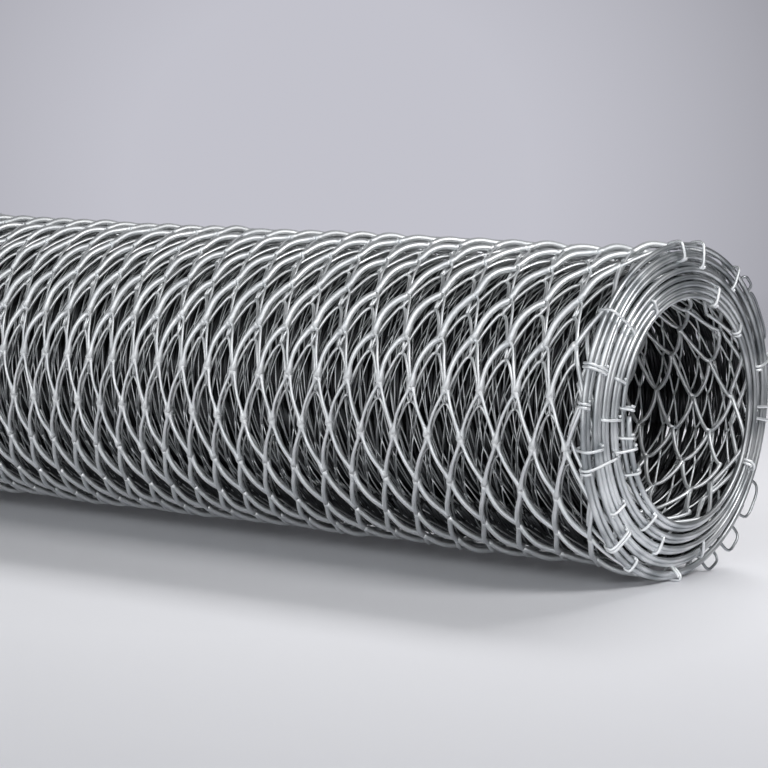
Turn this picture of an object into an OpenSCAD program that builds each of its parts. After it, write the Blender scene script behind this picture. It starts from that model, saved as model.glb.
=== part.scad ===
// Roll of hexagonal wire netting, lying on its side.
// The winding is one turned solid about the X axis. Every turn keeps its own place along the roll,
// so both ends are stepped, and every turn ends in its own ring of edge wire. The edge wire is
// thicker than the mesh, so the turns take more room at the ends and the roll flares towards them.
// The origin is on the ground, under the middle of the roll.

/* [Winding] */
// Diameter of the open bore
bore_d = 124; // [80:1:200]
// Number of turns of netting
turns = 10; // [6:1:16]
// How far the twists of one turn sink into the open mesh of the next
nesting = 1.1; // [0:0.05:1.2]
// Gap between the edge wires of one turn and those of the next
edge_gap = 0.8; // [0.5:0.05:2]
// How far the innermost turn stands out past the outermost one
slip = 9; // [1:0.5:15]
// Length of the flare at each end
flare_l = 45; // [30:1:90]

/* [Netting] */
// Width of the netting, which is the length of the roll
netting_w = 600; // [300:50:1200]
// Diameter of the mesh wire
wire_d = 2.2; // [1.4:0.05:2.4]
// Diameter of the edge wire
edge_wire_d = 3; // [2.6:0.05:3.4]
// How far the edge wires stand clear of the winding
edge_reach = 6; // [5:0.5:12]

/* [Hidden] */
$fn = 96;

// The mesh is as thick as the two wires of a twist
wires_in_twist = 2;
netting_t = wires_in_twist * wire_d;

// Room that a turn takes in the middle of the roll and at its ends
turn_pitch = netting_t - nesting;
edge_pitch = edge_wire_d + edge_gap;
bore_r = bore_d / 2;
body_r = bore_r + turns * turn_pitch;
end_r = bore_r + turns * edge_pitch;

half_w = netting_w / 2;
half_winding = half_w - edge_reach;
half_body = half_w - flare_l;
edge_wire_r = edge_wire_d / 2;
edge_wire_place = half_w - edge_wire_r;

// Radius at which a turn begins at the ends, counted from the innermost turn outwards
function edge_start_r(turn) = bore_r + turn * edge_pitch;

// Place of a turn along the roll: the inner turns lie further to +X
function turn_shift(turn) = slip / 2 - slip * turn / (turns - 1);

// One end of the winding as a flight of steps, from the bore outwards
function end_steps(end) = [
    for (turn = [0 : turns - 1], side = [0, 1])
        [edge_start_r(turn + side), end * half_winding + turn_shift(turn)]
];

function reversed(points) = [for (i = [len(points) - 1 : -1 : 0]) points[i]];

// Half section of the packed turns, with the radius across and the roll's length upwards
module winding_section() {
    outer_shift = turn_shift(turns - 1);
    body_line = [for (end = [-1, 1]) [body_r, end * half_body + outer_shift]];
    polygon(concat(end_steps(-1), body_line, reversed(end_steps(1))));
}

// Section of one turn's edge: the last strands of the mesh, and the edge wire that they hold
module edge_section(turn, end) {
    root = half_winding - edge_wire_r;
    translate([edge_start_r(turn) + edge_pitch / 2, turn_shift(turn)]) {
        translate([0, end * (root + edge_wire_place) / 2])
            square([wire_d, edge_wire_place - root], center = true);
        translate([0, end * edge_wire_place])
            circle(d = edge_wire_d);
    }
}

module netting_roll() {
    color([0.74, 0.76, 0.78])
        translate([0, 0, max(body_r, end_r)])
            rotate([0, 90, 0])
                rotate_extrude() {
                    winding_section();
                    for (turn = [0 : turns - 1], end = [-1, 1])
                        edge_section(turn, end);
                }
}

netting_roll();
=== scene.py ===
# Roll of galvanised hexagonal wire netting, wound from one sheet, lying on a pale floor.
import math

import bpy
import numpy as np
from mathutils import Matrix, Vector


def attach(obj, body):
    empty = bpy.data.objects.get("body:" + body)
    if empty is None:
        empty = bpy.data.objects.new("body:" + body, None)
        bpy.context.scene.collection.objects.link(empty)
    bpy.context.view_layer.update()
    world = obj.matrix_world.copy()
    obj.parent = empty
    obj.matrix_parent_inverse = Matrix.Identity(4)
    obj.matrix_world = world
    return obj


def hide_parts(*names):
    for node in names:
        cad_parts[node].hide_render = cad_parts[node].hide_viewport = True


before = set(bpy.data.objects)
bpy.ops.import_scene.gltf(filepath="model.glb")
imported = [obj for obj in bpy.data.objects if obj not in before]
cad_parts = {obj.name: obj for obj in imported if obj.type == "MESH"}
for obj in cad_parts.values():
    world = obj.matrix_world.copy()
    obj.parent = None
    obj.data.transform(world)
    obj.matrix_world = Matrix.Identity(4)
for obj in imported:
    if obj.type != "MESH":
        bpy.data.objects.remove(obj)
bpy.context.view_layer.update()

NODE = "netting_roll"
MM = 0.001
FULL_TURN = 2 * math.pi

# Sizes of the winding, as in the part's source
NETTING_W = 600 * MM
BORE_R = 62 * MM
TURNS = 10
WIRE_R = 1.1 * MM
EDGE_WIRE_R = 1.5 * MM
TURN_PITCH = 3.3 * MM
EDGE_PITCH = 3.8 * MM
SLIP = 9 * MM
FLARE_L = 45 * MM
END_R = BORE_R + TURNS * EDGE_PITCH

# Edge wires, and the ties and eyes that hook over them, as they are drawn
EDGE_RING_R = 1.65 * MM
EDGE_RING_SIDES = 12
EDGE_RING_POINTS = 950
TIE_R = 0.85 * MM
TIE_SIDES = 6
TIE_LOOP_POINTS = 22
TIE_FIRST_PHASE = 2.2
TIE_STEP = 2.6 * TIE_R
TIE_SQUARENESS = 0.55
EYE_POINTS = 26
EYE_CLOSED = 0.9
EYE_SKEW = 1 * MM
EYE_SQUARENESS = 0.6

# Angles round the roll: 0 is the back, 90 the top, 180 the front, 270 the ground
START_ANGLE = math.radians(150)
END_ANGLE = math.radians(320)
WOUND = END_ANGLE - START_ANGLE + FULL_TURN * (TURNS - 1)
GROWTH = (TURNS - 1) / WOUND

# The mesh: twists in rows across the sheet, every other column of twists in each row
ROW_STEP = 28.9 * MM
BORE_ROW_STEP = 21 * MM
ROW_ANGLE = math.radians(171)
WIDE_CELL = 26 * MM
NARROW_CELL = 19.5 * MM
NARROW_FROM = 420 * MM
TAIL_L = 8 * MM

# Turns that are drawn one by one: two from the bore outwards, five from the outside inwards
BORE_TURNS = 2
OUTER_TURNS = 5

# Rows this far below the roll's axis, as a share of its radius, lie near the ground
GROUND_SHARE = -0.72

# Unevenness of the winding
SIDE_SPREAD = 0.6
DRIFT_FADE = 30 * MM
OVAL = 0.5 * MM
LOBES = 0.3 * MM
LOBE_TWIST = 17
STRETCH = 3.5 * MM
STRETCH_WAVE = 97 * MM
STRETCH_FADE = 50 * MM

# Strands: how straight they run, and the share of them that crosses or swells at a twist
STRAIGHTNESS = 0.75
CROSSING_SHARE = 0.2
BLOOM_SHARE = 0.16
BLOOM_LIMIT = 0.7
BLOOM_FADE = 0.5

# Added thickness above and below the axis, of strands that slant with the turn and against it
BOLD_ABOVE = (1.0, -0.15)
BOLD_BELOW = (0.5, 0.75)
BOLD_FROM = 0.7

# Sockets of a colour mix
MIX_A, MIX_B, MIX_RESULT = 6, 7, 2

# Where the backdrop is brightest, behind the roll: a patch of painted light
GLOW_WAY = (-0.6347, 0.7745, -0.0448)

SEED = 11
rng = np.random.default_rng(SEED)


def smooth(x):
    """Eases from 0 to 1, level at both ends."""
    x = np.clip(x, 0.0, 1.0)
    return x * x * (3 - 2 * x)


def wave(x, height, length, start=0.0):
    """A wave of this height, which turns by one radian in this length."""
    return height * np.sin(x / length + start)


def squared(v, power):
    """Draws a sine or cosine out towards its limits, so that a circle gets squarer."""
    return np.sign(v) * np.abs(v)**power


def wound_length(angle):
    """Length of sheet that is wound by this angle, at the middle of the roll."""
    first_r = BORE_R + TURN_PITCH / 2
    return first_r * angle + TURN_PITCH * GROWTH * angle**2 / 2


def wound_angle(length):
    """The angle at which this length of sheet has been wound."""
    first_r = BORE_R + TURN_PITCH / 2
    rise = TURN_PITCH * GROWTH
    return (np.sqrt(first_r**2 + 2 * rise * length) - first_r) / rise


def column_places():
    """Distances of the columns of twists from the near edge, closing up towards the far one."""
    places = [EDGE_WIRE_R]
    far = NETTING_W - EDGE_WIRE_R
    while places[-1] < far:
        share = float(smooth(places[-1] / NARROW_FROM))
        places.append(places[-1] + (WIDE_CELL + (NARROW_CELL - WIDE_CELL) * share) / 2)
    places = np.array(places)
    fit = (far - EDGE_WIRE_R) / (places[-1] - EDGE_WIRE_R)
    return EDGE_WIRE_R + (places - EDGE_WIRE_R) * fit


def closer_columns(columns, times):
    """The same columns with others between them, so many times as close."""
    steps = np.arange(times * (len(columns) - 1) + 1) / times
    return np.interp(steps, np.arange(len(columns)), columns)


def inner_wires(columns):
    """All wires of a mesh but those along its edges."""
    return np.arange(1, len(columns) - 2)


def row_places():
    """Lengths along the sheet of the rows of twists. One row lies at ROW_ANGLE on the last turn."""
    full = wound_length(WOUND)
    marked = wound_length(WOUND - (END_ANGLE - ROW_ANGLE))
    back = int(marked / ROW_STEP - 0.5)
    back -= back % 2
    first = marked - back * ROW_STEP
    count = int((full - TAIL_L - first) / ROW_STEP) + 1
    return first + ROW_STEP * np.arange(count)


ROWS = row_places()
LAST_ROW = len(ROWS) - 1


def first_row_of_turn(turns_from_end):
    """The first row of twists in the last so many turns."""
    start = wound_length(WOUND - FULL_TURN * turns_from_end)
    return int(np.searchsorted(ROWS, start))


OUTER_ROW = first_row_of_turn(1)


def make_net(rows, columns, spread, drift):
    """The places of all twists of a mesh on the flat sheet, a little uneven."""
    shape = (len(rows), len(columns))
    from_edge = np.minimum(columns, columns[-1] - columns)
    across = columns + rng.normal(0, SIDE_SPREAD * spread, shape)
    across += drift[:, None] * smooth(from_edge / DRIFT_FADE)
    across[:, [0, -1]] = columns[[0, -1]]
    over = np.where(rng.random(shape) < 0.5, 1.0, -1.0)
    over[:, [0, -1]] = 0
    return {"along": rows[:, None] + rng.normal(0, spread, shape), "across": across,
            "over": over, "bow": rng.normal(0, 1.0, shape)}


def edge_wander(along, turn):
    """How far the edges of the turns stray outwards and sideways. Neighbours close up in pairs."""
    pair = math.pi * turn
    out = wave(along, 0.5 * MM, 71 * MM, 1.0) + wave(along, 0.35 * MM, 29 * MM, 2.0)
    out += wave(pair, 0.9 * MM, 1, 0.97)
    side = wave(along, 0.9 * MM, 83 * MM, 0.4) + wave(along, 0.5 * MM, 37 * MM)
    side += wave(pair, 0.8 * MM, 1, 0.4)
    return out, side


def place_on_roll(along, across, height):
    """World points, and the outward direction there, of points given on the flat sheet."""
    angle = wound_angle(np.clip(along, 0, None))
    turn = angle * GROWTH
    edge = np.minimum(across, NETTING_W - across)
    flare = smooth(1 - edge / FLARE_L)
    body_r = BORE_R + TURN_PITCH * (turn + 0.5)
    end_r = BORE_R + EDGE_PITCH * (turn + 0.5)
    theta = START_ANGLE + angle
    uneven = OVAL * np.sin(2 * theta + 1.0) + LOBES * np.sin(3 * theta + across * LOBE_TWIST)
    edge_out, edge_side = edge_wander(along, turn)
    radius = body_r + (end_r - body_r) * flare + uneven * (1 - flare) + edge_out * flare + height
    ground_r = (END_R - EDGE_RING_R) / np.maximum(-np.sin(theta), 0.5)
    radius = np.minimum(radius, ground_r)
    stretch = wave(along, STRETCH, STRETCH_WAVE, 0.8) * smooth(edge / STRETCH_FADE)
    turn_shift = SLIP / 2 - SLIP * turn / (TURNS - 1)
    x = NETTING_W / 2 - across + stretch + edge_side * flare + turn_shift
    outward = np.stack([np.zeros_like(theta), np.cos(theta), np.sin(theta)], -1)
    middle = np.stack([x, np.zeros_like(x), np.full_like(x, END_R)], -1)
    return middle + outward * radius[..., None], outward


def mesh_strands(net, wires, rows, points, bow, arch):
    """Flat-sheet paths of the strands from each row of twists to the next, and the way they slant.
    At a twist they pass over one another. With an arch, which may differ from row to row, they
    leave the first of their two twists sideways."""
    arch = np.broadcast_to(arch, len(rows))[:, None, None]
    step = np.linspace(0, 1, points) ** (1 + arch)
    straight = STRAIGHTNESS * step + (1 - STRAIGHTNESS) * smooth(step)
    sway = (1 - arch) * straight + arch * np.sqrt(1 - (1 - step)**2)
    hump = (4 * step * (1 - step))**2
    k = np.asarray(rows)[:, None]
    start = wires + (wires + k) % 2
    stop = wires + (wires + k + 1) % 2

    def between(key, share_1, share_2):
        first, second = net[key][k, start][..., None], net[key][k + 1, stop][..., None]
        return first * share_1 + second * share_2

    along = between("along", 1 - step, step)
    across = between("across", 1 - sway, sway)
    pass_over = between("over", smooth(1 - step / CROSSING_SHARE),
                        smooth(1 - (1 - step) / CROSSING_SHARE))
    height = (stop - start)[..., None] * WIRE_R / 2 * pass_over
    height = height + (bow[0] + bow[1] * net["bow"][k, start])[..., None] * hump
    way = np.broadcast_to((stop - start)[..., None], along.shape)
    return [v.reshape(-1, points) for v in (along, across, height, way)]


def tube_arrays(paths, outward, radius, sides):
    """Corners and faces of round wires along paths, with closed ends, as wide as a true circle."""
    count, length, _ = paths.shape
    widened = radius * math.pi / (sides * math.sin(math.pi / sides))
    radius = np.broadcast_to(widened, (count, length))
    ahead = np.gradient(paths, axis=1)
    ahead /= np.linalg.norm(ahead, axis=-1, keepdims=True)
    across = np.cross(ahead, outward)
    across /= np.linalg.norm(across, axis=-1, keepdims=True)
    up = np.cross(across, ahead)
    turn = np.linspace(0, FULL_TURN, sides, endpoint=False)
    ring = up[:, :, None] * np.cos(turn)[:, None] + across[:, :, None] * np.sin(turn)[:, None]
    corners = paths[:, :, None] + radius[:, :, None, None] * ring
    index = np.arange(count * length * sides).reshape(count, length, sides)
    beside = np.roll(index, -1, axis=2)
    quads = np.stack([index[:, :-1], beside[:, :-1], beside[:, 1:], index[:, 1:]], -1)
    caps = np.concatenate([index[:, 0, ::-1], index[:, -1]])
    return corners.reshape(-1, 3), quads.reshape(-1, 4), caps


def mesh_piece(name, parts):
    """One mesh object from the arrays of several tubes."""
    corners, loops, starts = [], [], []
    corner_count = loop_count = 0
    for points, quads, caps in parts:
        for faces in (quads, caps):
            sides = faces.shape[1]
            starts.append(loop_count + sides * np.arange(len(faces)))
            loops.append((faces + corner_count).ravel())
            loop_count += faces.size
        corners.append(points)
        corner_count += len(points)
    mesh = bpy.data.meshes.new(name)
    mesh.vertices.add(corner_count)
    mesh.vertices.foreach_set("co", np.concatenate(corners).astype(np.float32).ravel())
    mesh.loops.add(loop_count)
    mesh.loops.foreach_set("vertex_index", np.concatenate(loops).astype(np.int32))
    starts = np.concatenate(starts).astype(np.int32)
    mesh.polygons.add(len(starts))
    mesh.polygons.foreach_set("loop_start", starts)
    mesh.update(calc_edges=True)
    mesh.validate()
    mesh.shade_smooth()
    piece = bpy.data.objects.new(name, mesh)
    bpy.context.collection.objects.link(piece)
    return piece


def finish(piece, material):
    """Gives a piece its material, and its place in the part."""
    piece.data.materials.append(material)
    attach(piece, "root")
    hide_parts(NODE)


def strands_piece(name, material, net, wires, rows, sides, points, radius,
                  bow=(0, 0.3 * MM), arch=0.0, bold=0.0, knot=0.0, finer=0.0):
    """Strands of the mesh as one mesh object. The wire may be bolder towards the top, where it
    slants with the turn of the roll, and towards the ground. It may swell with zinc at the twists
    near the roll's middle height, and it may be finer below."""
    *flat, way = mesh_strands(net, np.asarray(wires), rows, points, bow, arch)
    paths, outward = place_on_roll(*flat)
    upward = outward[..., 2]
    favour = np.where(upward > 0, np.where(way > 0, *BOLD_ABOVE), np.where(way > 0, *BOLD_BELOW))
    bolder = bold * favour * smooth(np.abs(upward) / BOLD_FROM)
    from_twist = np.minimum(np.linspace(0, 1, points), np.linspace(1, 0, points))
    bloom = smooth(1 - from_twist / BLOOM_SHARE)
    bloom = bloom * smooth((BLOOM_LIMIT - np.abs(upward)) / BLOOM_FADE)
    radius = radius * (1 + finer * upward) + bolder + knot * bloom
    piece = mesh_piece(name, [tube_arrays(paths, outward, radius, sides)])
    if knot:
        layer = piece.data.attributes.new("zinc_bloom", "FLOAT", "POINT")
        layer.data.foreach_set("value", np.repeat(bloom, sides).astype(np.float32))
    finish(piece, material)


def inner_turn(name, material, turns_in, drop, shift, spread, columns, **look):
    """A turn under the outer one, its rows of twists a little lower at the front."""
    rows = np.append(ROWS[OUTER_ROW - OUTER_ROW % 2:], ROWS[-1] + ROW_STEP)
    rows = wound_length(wound_angle(rows) - FULL_TURN * turns_in) + drop
    net = make_net(rows, columns, spread, np.full_like(rows, shift))
    strands_piece(name, material, net, inner_wires(columns), range(len(rows) - 1), **look)


def edge_wire_piece(name, material, across):
    """The edge wire along one edge of the sheet."""
    along = np.linspace(ROWS[0] - TAIL_L, ROWS[-1] + TAIL_L, EDGE_RING_POINTS)
    across = np.full_like(along, across)
    paths, outward = place_on_roll(along[None], across[None], np.zeros_like(along)[None])
    ring = tube_arrays(paths, outward, EDGE_RING_R, EDGE_RING_SIDES)
    finish(mesh_piece(name, [ring]), material)


def edge_point(end, angle, ring):
    """Centre of the edge wire of one ring, counted from the bore, at an angle round the roll."""
    from_start = (angle - START_ANGLE) % FULL_TURN
    ring = min(ring, int((WOUND - from_start) / FULL_TURN))
    along = np.array([wound_length(from_start + FULL_TURN * ring)])
    across = np.array([EDGE_WIRE_R if end > 0 else NETTING_W - EDGE_WIRE_R])
    point, outward = place_on_roll(along, across, np.zeros(1))
    return point[0], outward[0]


def tie_path(end, degrees, first_ring, last_ring, loops, slack_mm):
    """A wire wound round the edge wires of some neighbouring rings."""
    angle = math.radians(degrees)
    held = range(first_ring, last_ring + 1)
    rings, outwards = zip(*(edge_point(end, angle, ring) for ring in held))
    inner, outer, outward = rings[0], rings[-1], outwards[0]
    round_roll = np.array([0, -outward[2], outward[1]])
    span = np.linalg.norm(outer - inner)
    along = (outer - inner) / span if span > 0.1 * MM else outward
    aside = np.cross(along, round_roll)
    reach = EDGE_RING_R + TIE_R
    slack = slack_mm * MM + max(abs(float(np.dot(ring - inner, aside))) for ring in rings)
    phase = np.linspace(0, FULL_TURN * loops, int(TIE_LOOP_POINTS * loops) + 1) + TIE_FIRST_PHASE
    lean = (phase - phase.mean()) / FULL_TURN * TIE_STEP
    return ((inner + outer) / 2
            + np.outer(squared(np.cos(phase), TIE_SQUARENESS) * (span / 2 + reach), along)
            + np.outer(squared(np.sin(phase), TIE_SQUARENESS) * (reach + slack), aside)
            + np.outer(lean, round_roll)), round_roll


def eye_path(end, degrees, length_mm, reach_mm, depth_mm):
    """An open loop of wire that stands out from the rim, held by the outermost edge wire."""
    rim, outward = edge_point(end, math.radians(degrees), TURNS - 1)
    round_roll = np.array([0, -outward[2], outward[1]])
    inwards = np.array([-end, 0, 0])
    phase = np.linspace(-EYE_CLOSED * math.pi, EYE_CLOSED * math.pi, EYE_POINTS)
    out = (squared(np.cos(phase), EYE_SQUARENESS) + 1) / 2
    aside = squared(np.sin(phase), EYE_SQUARENESS) * length_mm * MM / 2
    return (rim + np.outer(aside, round_roll)
            + np.outer(out * reach_mm * MM - EDGE_WIRE_R, outward)
            + np.outer(depth_mm * MM * (1 - out) + EYE_SKEW * phase / math.pi, inwards)), inwards


def ties_piece(name, material, end, ties, eyes):
    """The ties and eyes of one end of the roll as one mesh object, none of them below the ground."""
    parts = []
    paths = [tie_path(end, *tie) for tie in ties] + [eye_path(end, *eye) for eye in eyes]
    for path, across in paths:
        path[:, 2] = np.maximum(path[:, 2], TIE_R)
        across = np.broadcast_to(across, path.shape)
        parts.append(tube_arrays(path[None], across[None], TIE_R, TIE_SIDES))
    finish(mesh_piece(name, parts), material)


def node(tree, kind, at, inputs=None, **values):
    """A node at a place in its tree, with its settings and the values of its inputs."""
    made = tree.nodes.new(kind)
    made.location = at
    for key, value in values.items():
        setattr(made, key, value)
    for key, value in (inputs or {}).items():
        made.inputs[key].default_value = value
    return made


def zinc_tone_group():
    """Blotches of a zinc coating: a colour and a roughness."""
    group = bpy.data.node_groups.new("zinc_tone", "ShaderNodeTree")
    for name, kind in (("Light", "NodeSocketColor"), ("Dark", "NodeSocketColor"),
                       ("Smooth", "NodeSocketFloat"), ("Dull", "NodeSocketFloat")):
        group.interface.new_socket(name, in_out="INPUT", socket_type=kind)
    for name, kind in (("Color", "NodeSocketColor"), ("Roughness", "NodeSocketFloat")):
        group.interface.new_socket(name, in_out="OUTPUT", socket_type=kind)
    inputs = node(group, "NodeGroupInput", (-800, 0))
    outputs = node(group, "NodeGroupOutput", (500, 0))
    place = node(group, "ShaderNodeTexCoord", (-800, -250))
    blotch = node(group, "ShaderNodeTexNoise", (-560, -150), {"Scale": 45, "Detail": 1})
    contrast = node(group, "ShaderNodeMapRange", (-340, -150),
                    {"From Min": 0.32, "From Max": 0.66}, clamp=True)
    mix = node(group, "ShaderNodeMix", (0, 100), data_type="RGBA")
    rough = node(group, "ShaderNodeMapRange", (0, -250))
    group.links.new(place.outputs["Object"], blotch.inputs["Vector"])
    group.links.new(blotch.outputs["Fac"], contrast.inputs["Value"])
    group.links.new(contrast.outputs["Result"], mix.inputs["Factor"])
    group.links.new(inputs.outputs["Dark"], mix.inputs[MIX_A])
    group.links.new(inputs.outputs["Light"], mix.inputs[MIX_B])
    group.links.new(contrast.outputs["Result"], rough.inputs["Value"])
    group.links.new(inputs.outputs["Smooth"], rough.inputs["To Max"])
    group.links.new(inputs.outputs["Dull"], rough.inputs["To Min"])
    group.links.new(mix.outputs[MIX_RESULT], outputs.inputs["Color"])
    group.links.new(rough.outputs["Result"], outputs.inputs["Roughness"])
    return group


def zinc_material(name, tone, light, dark, polished, dull, dim=None):
    """Zinc in two tones. Where the mesh is marked with bloom it is dull and white. An axis, two
    places on it and a value, when given, make the colour fall to that value from place to place:
    painted shade."""
    material = bpy.data.materials.new(name)
    material.use_nodes = True
    tree = material.node_tree
    shader = tree.nodes["Principled BSDF"]
    zinc = node(tree, "ShaderNodeGroup", (-600, 300), node_tree=tone)
    zinc.inputs["Light"].default_value = (*light, 1)
    zinc.inputs["Dark"].default_value = (*dark, 1)
    zinc.inputs["Smooth"].default_value = polished
    zinc.inputs["Dull"].default_value = dull
    tree.links.new(zinc.outputs["Roughness"], shader.inputs["Roughness"])
    bloom = node(tree, "ShaderNodeAttribute", (-600, 0), attribute_name="zinc_bloom")
    metal = node(tree, "ShaderNodeMapRange", (-300, 0), {"To Min": 1.0, "To Max": 0.0})
    tree.links.new(bloom.outputs["Fac"], metal.inputs["Value"])
    tree.links.new(metal.outputs["Result"], shader.inputs["Metallic"])
    if dim is None:
        tree.links.new(zinc.outputs["Color"], shader.inputs["Base Color"])
        return material
    # painted shade: the colour scaled down from place to place along the axis
    axis, first, last, value = dim
    place = node(tree, "ShaderNodeTexCoord", (-1000, -250))
    parts = node(tree, "ShaderNodeSeparateXYZ", (-800, -250))
    fall = node(tree, "ShaderNodeMapRange", (-600, -250),
                {"From Min": first, "From Max": last, "To Min": 1.0, "To Max": value},
                interpolation_type="SMOOTHSTEP")
    dimmed = node(tree, "ShaderNodeVectorMath", (-300, 300), operation="SCALE")
    tree.links.new(place.outputs["Object"], parts.inputs["Vector"])
    tree.links.new(parts.outputs[axis], fall.inputs["Value"])
    tree.links.new(zinc.outputs["Color"], dimmed.inputs[0])
    tree.links.new(fall.outputs["Result"], dimmed.inputs["Scale"])
    tree.links.new(dimmed.outputs["Vector"], shader.inputs["Base Color"])
    return material


def stage():
    """A pale floor, its colour darker away from the roll as painted light falloff, that fades into
    the backdrop far from the roll.
    """
    bpy.ops.object.select_all(action="DESELECT")
    bpy.ops.mesh.primitive_circle_add(vertices=96, radius=5, fill_type="NGON", location=(0, 0, 0))
    floor = bpy.context.object
    floor.name = "floor"
    material = bpy.data.materials.new("pale_floor")
    material.use_nodes = True
    tree = material.node_tree
    shader = tree.nodes["Principled BSDF"]
    shader.inputs["Roughness"].default_value = 0.55
    shader.inputs["Specular IOR Level"].default_value = 0.3
    place = node(tree, "ShaderNodeTexCoord", (-800, 0))
    away = node(tree, "ShaderNodeVectorMath", (-600, 0), operation="LENGTH")
    fade = node(tree, "ShaderNodeMapRange", (-400, 0),
                {"From Min": 0.7, "From Max": 2.1, "To Min": 1.0, "To Max": 0.0},
                interpolation_type="SMOOTHSTEP")
    # painted light: the floor's colour falls off with distance from the roll, as the lamps' light
    # would
    painted_falloff = node(tree, "ShaderNodeMapRange", (-400, 300),
                  {"From Min": 0.35, "From Max": 0.95}, clamp=True)
    near_tint, far_tint = (0.82, 0.82, 0.85, 1), (0.55, 0.55, 0.58, 1)
    tint = node(tree, "ShaderNodeMix", (-200, 300), data_type="RGBA",
                inputs={MIX_A: near_tint, MIX_B: far_tint})
    tree.links.new(place.outputs["Object"], away.inputs[0])
    tree.links.new(away.outputs["Value"], painted_falloff.inputs["Value"])
    tree.links.new(painted_falloff.outputs["Result"], tint.inputs["Factor"])
    tree.links.new(tint.outputs[MIX_RESULT], shader.inputs["Base Color"])
    tree.links.new(away.outputs["Value"], fade.inputs["Value"])
    tree.links.new(fade.outputs["Result"], shader.inputs["Alpha"])
    floor.data.materials.append(material)


def backdrop():
    """A pale backdrop in a dim room. The camera sees it all round, the wires only behind the roll."""
    world = bpy.data.worlds.new("studio")
    bpy.context.scene.world = world
    world.use_nodes = True
    tree = world.node_tree
    room = tree.nodes["Background"]
    room.inputs["Color"].default_value = (0.80, 0.82, 0.86, 1)
    room.inputs["Strength"].default_value = 0.05
    pale = node(tree, "ShaderNodeBackground", (-200, 250), {"Color": (0.90, 0.90, 1.0, 1)})
    way = node(tree, "ShaderNodeTexCoord", (-900, 250))
    toward = node(tree, "ShaderNodeVectorMath", (-700, 250), {1: GLOW_WAY}, operation="DOT_PRODUCT")
    # painted light: the backdrop brighter in a patch around GLOW_WAY
    glow = node(tree, "ShaderNodeMapRange", (-450, 250),
                {"From Min": 0.988, "From Max": 1.0, "To Min": 0.365, "To Max": 0.605}, clamp=True)
    tree.links.new(way.outputs["Generated"], toward.inputs[0])
    tree.links.new(toward.outputs["Value"], glow.inputs["Value"])
    tree.links.new(glow.outputs["Result"], pale.inputs["Strength"])
    seen = node(tree, "ShaderNodeLightPath", (-900, 600))
    behind = node(tree, "ShaderNodeMapRange", (-450, 500), {"From Min": 0.4, "From Max": 0.95},
                  interpolation_type="SMOOTHSTEP")
    mirrored = node(tree, "ShaderNodeMath", (-200, 500), operation="MULTIPLY")
    straight = node(tree, "ShaderNodeMath", (-200, 700), operation="MAXIMUM")
    shown = node(tree, "ShaderNodeMath", (0, 500), operation="MAXIMUM")
    mix = node(tree, "ShaderNodeMixShader", (200, 100))
    tree.links.new(toward.outputs["Value"], behind.inputs["Value"])
    tree.links.new(seen.outputs["Is Glossy Ray"], mirrored.inputs[0])
    tree.links.new(behind.outputs["Result"], mirrored.inputs[1])
    tree.links.new(seen.outputs["Is Camera Ray"], straight.inputs[0])
    tree.links.new(seen.outputs["Is Transmission Ray"], straight.inputs[1])
    tree.links.new(straight.outputs["Value"], shown.inputs[0])
    tree.links.new(mirrored.outputs["Value"], shown.inputs[1])
    tree.links.new(shown.outputs["Value"], mix.inputs[0])
    tree.links.new(room.outputs["Background"], mix.inputs[1])
    tree.links.new(pale.outputs["Background"], mix.inputs[2])
    tree.links.new(mix.outputs["Shader"], tree.nodes["World Output"].inputs["Surface"])


def area_light(name, place, target, size, power, shine=True, fill=True, tint=(1, 1, 1)):
    """A soft box that faces its target. It may leave out its shine on metal, or its soft light."""
    lamp = bpy.data.lights.new(name, "AREA")
    lamp.shape = "RECTANGLE"
    lamp.size, lamp.size_y = size
    lamp.energy = power
    lamp.color = tint
    made = bpy.data.objects.new(name, lamp)
    made.location = place
    made.visible_glossy = shine
    made.visible_diffuse = fill
    facing = Vector(target) - Vector(place)
    made.rotation_euler = facing.to_track_quat("-Z", "Y").to_euler()
    bpy.context.collection.objects.link(made)


def lights():
    """Soft boxes behind, above, in front of and beside the roll."""
    middle = (0, 0, END_R)
    near_end = (0.3, 0, END_R)
    behind = (0.0, 1.15, 1.5)
    area_light("back_softbox", behind, middle, size=(2.4, 1.2), power=2, fill=False)
    area_light("shadow_softbox", behind, middle, size=(1.0, 0.4), power=24, shine=False)
    area_light("high_softbox", (0.2, -1.6, 1.05), middle, size=(2.4, 1.0), power=10.5,
               tint=(0.94, 0.975, 1))
    area_light("front_softbox", (0.2, -2.0, 0.28), middle, size=(2.0, 0.5), power=7)
    area_light("end_softbox", (1.5, -1.7, 0.85), near_end, size=(1.4, 1.2), power=8, fill=False)
    area_light("side_softbox", (1.6, 0.0, 1.3), near_end, size=(0.7, 0.7), power=19)


def camera():
    """The photo's view: its focal length, its turn and tilt, and its place from the near end."""
    focal_px, frame_px = 2973, 768
    yaw, pitch = math.radians(38.3), math.radians(6.3)
    along, aside, height = 0.9255, -1.4475, 0.3041
    near_end_x = NETTING_W / 2 - SLIP / 2
    data = bpy.data.cameras.new("camera")
    data.sensor_width = 36
    data.lens = data.sensor_width * focal_px / frame_px
    data.clip_end = 50
    made = bpy.data.objects.new("camera", data)
    level = math.cos(pitch)
    ahead = Vector((-math.sin(yaw) * level, math.cos(yaw) * level, -math.sin(pitch)))
    right = Vector((math.cos(yaw), math.sin(yaw), 0))
    up = right.cross(ahead)
    turn = Matrix((right, up, -ahead)).transposed()
    place = Vector((near_end_x + along, aside, height))
    made.matrix_world = Matrix.Translation(place) @ turn.to_4x4()
    bpy.context.collection.objects.link(made)
    bpy.context.scene.camera = made


bpy.context.scene.view_settings.view_transform = "Standard"
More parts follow.
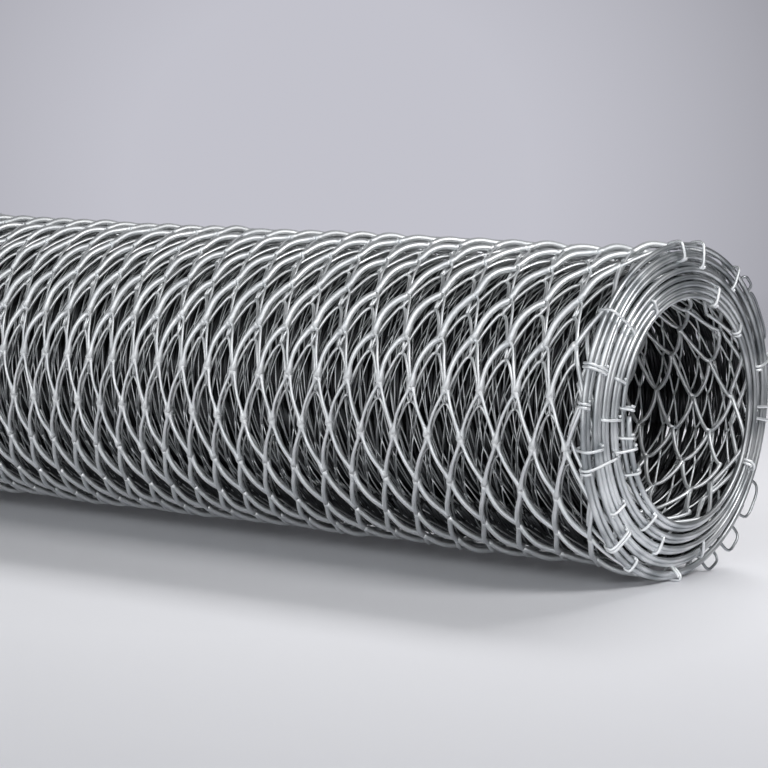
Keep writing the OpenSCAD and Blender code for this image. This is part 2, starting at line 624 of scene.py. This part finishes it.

# Zinc, from the bright outer wires to the dark ones deep in the roll; the darker copies of the one
# zinc, and their falls along an axis, are painted shade
tone = zinc_tone_group()
bright = zinc_material("bright_zinc", tone, light=(0.95, 0.965, 0.975), dark=(0.82, 0.84, 0.855),
                       polished=0.52, dull=0.62)
# painted shade: the edge wires' zinc darker than the bright zinc, and darker still towards the back;
# its blotches are the zinc's own tone
rim = zinc_material("rim_zinc", tone, light=(0.82, 0.84, 0.855), dark=(0.34, 0.362, 0.38),
                    polished=0.40, dull=0.50, dim=("Y", -0.04, 0.08, 0.68))
# painted shade: a darker copy of the zinc for the third to fifth turns, darker still towards the top
shaded = zinc_material("shaded_zinc", tone, light=(0.70, 0.715, 0.725), dark=(0.48, 0.495, 0.505),
                       polished=0.44, dull=0.54, dim=("Z", 0.11, 0.18, 0.65))
# painted shade: the second turn's zinc, darker towards the ground
under = zinc_material("under_zinc", tone, light=(0.92, 0.93, 0.935), dark=(0.78, 0.795, 0.805),
                      polished=0.44, dull=0.54, dim=("Z", 0.13, 0.03, 0.5))
# painted shade: a dark copy of the zinc for the eyes at the near end
eye_shade = zinc_material("eye_shade_zinc", tone, light=(0.36, 0.375, 0.39), dark=(0.22, 0.23, 0.245),
                     polished=0.30, dull=0.40)
# painted shade: near-black zinc for the packed turns, standing in for the shade deep in the roll
deep = zinc_material("deep_shade_zinc", tone, light=(0.10, 0.103, 0.107), dark=(0.05, 0.052, 0.055),
                     polished=0.46, dull=0.56)

columns = column_places()
half_columns = closer_columns(columns, 2)
close_columns = closer_columns(columns, 6)
wires = inner_wires(columns)
near_wires, far_wires = np.array_split(wires, 2)

# The outer turn, its upper half arched, and the strands along both edges of the sheet
net = make_net(ROWS, columns, 0.7 * MM, np.zeros_like(ROWS))
outer_rows = range(OUTER_ROW, LAST_ROW)
upper_share = smooth(np.sin(START_ANGLE + wound_angle(ROWS[outer_rows])) / 0.4)
outer = {"sides": 6, "points": 12, "radius": 0.9 * MM, "bold": 1.2 * MM, "knot": 1.5 * MM,
         "bow": (1.5 * MM, 0.5 * MM), "arch": 0.6 * upper_share}
edge = {"sides": 6, "points": 8, "radius": 1.2 * MM}
strands_piece("outer_turn_near", bright, net, near_wires, outer_rows, **outer)
strands_piece("outer_turn_far", bright, net, far_wires, outer_rows, **outer)
strands_piece("edge_strands_near", bright, net, [0], range(LAST_ROW), **edge)
strands_piece("edge_strands_far", bright, net, [len(columns) - 2], range(LAST_ROW), **edge)

# The turns just under it, their zinc darkened as painted shade
inner_turn("second_turn", under, 1, 9 * MM, 1.5 * MM, 0.7 * MM, columns,
           sides=6, points=9, radius=0.75 * MM, arch=0.5, finer=0.45)
inner_turn("third_turn", shaded, 2, 4 * MM, 6 * MM, 1.4 * MM, half_columns,
           sides=4, points=5, radius=0.45 * MM, arch=0.15)
inner_turn("fourth_turn", shaded, 3, 14 * MM, 1.5 * MM, 1.6 * MM, half_columns,
           sides=3, points=4, radius=0.45 * MM, arch=0.1)
inner_turn("fifth_turn", shaded, 4, 22 * MM, -3 * MM, 1.6 * MM, half_columns,
           sides=3, points=4, radius=0.45 * MM, arch=0.1)

# The two turns that show in the bore
bore_rows = np.arange(TAIL_L, wound_length(BORE_TURNS * FULL_TURN), BORE_ROW_STEP)
bore_row = int(np.searchsorted(bore_rows, wound_length(FULL_TURN)))
bore_net = make_net(bore_rows, columns, 0.8 * MM, np.zeros_like(bore_rows))
half_net = make_net(bore_rows, half_columns, 0.8 * MM, np.zeros_like(bore_rows))
strands_piece("bore_turn", bright, bore_net, wires, range(bore_row),
              sides=6, points=9, radius=1.2 * MM, arch=0.55)
strands_piece("second_bore_turn", bright, half_net, inner_wires(half_columns),
              range(bore_row, len(bore_rows) - 1), sides=4, points=6, radius=0.65 * MM, arch=0.3)

# The packed turns between them, and near the ground also further out
close_net = make_net(ROWS, close_columns, 1.0 * MM, wave(ROWS, 3.2 * MM, 45 * MM))
close_wires = inner_wires(close_columns)
packed = {"sides": 3, "points": 3, "radius": 1.0 * MM}
first_packed_row = int(np.searchsorted(ROWS, wound_length(BORE_TURNS * FULL_TURN)))
first_open_row = first_row_of_turn(OUTER_TURNS)
packed_rows = range(first_packed_row, first_open_row)
row_middles = START_ANGLE + wound_angle(ROWS + ROW_STEP / 2)
ground_rows = [row for row in range(first_open_row, first_row_of_turn(2))
               if math.sin(row_middles[row]) < GROUND_SHARE]
# Both in the near-black zinc, as painted shade
strands_piece("packed_turns", deep, close_net, close_wires, packed_rows, **packed)
strands_piece("packed_turns_low", deep, close_net, close_wires, ground_rows, **packed)

# The edge wires, in the rim zinc with its painted shade
edge_wire_piece("edge_wire_near", rim, EDGE_WIRE_R)
edge_wire_piece("edge_wire_far", rim, NETTING_W - EDGE_WIRE_R)

# Ties: angle, first and last ring, number of loops, slack in mm
near_ties = [
    (178, 2, 5, 1.2, 0), (173, 0, 1, 1.2, 0), (187, 0, 1, 1.3, 0), (192, 0, 2, 1.2, 0.6),
    (195, 3, 9, 1.8, 0), (188, 7, 9, 1.2, 1.5), (216, 4, 6, 1.7, 0), (227, 6, 9, 2.2, 0),
    (241, 8, 9, 1.5, 0), (268, 8, 9, 1.2, 3), (205, 0, 1, 1.2, 1), (173, 9, 9, 2.2, 0),
    (94, 6, 8, 1.2, 2), (81, 5, 8, 1.2, 2), (140, 3, 9, 1.2, 3), (55, 5, 8, 1.6, 0),
    (40, 0, 1, 1.3, 0), (14, 4, 8, 1.7, 0), (161, 2, 3, 1.3, 0), (160, 7, 9, 2.4, 0),
    (356, 3, 8, 1.3, 0), (351, 3, 8, 1.3, 0), (120, 1, 2, 1.3, 0), (250, 3, 5, 1.3, 0),
    (285, 5, 7, 1.4, 0), (235, 1, 3, 1.3, 0), (330, 2, 4, 1.3, 0), (68, 0, 2, 1.3, 0)]
far_angles = range(5, 360, 19)
far_first_rings = rng.integers(0, 7, len(far_angles))
far_spans = rng.integers(0, 4, len(far_angles))
far_ties = [(angle, ring, ring + span, 1.4, 0)
            for angle, ring, span in zip(far_angles, far_first_rings, far_spans)]

# Eyes: angle, then length, reach and depth in mm
near_eyes = [(323, 24, 13, 5), (307, 16, 14, 5), (294, 14, 11, 5),
             (44, 10, 8, 4), (30, 34, 6, 5), (10, 12, 5, 5)]
far_eyes = [(60, 16, 8, 5), (210, 14, 7, 5)]
ties_piece("edge_ties_near", bright, 1, near_ties, [])
# The near eyes in the dark zinc, as painted shade
ties_piece("edge_eyes_near", eye_shade, 1, [], near_eyes)
ties_piece("edge_ties_far", bright, -1, far_ties, far_eyes)

stage()
backdrop()
lights()
camera()
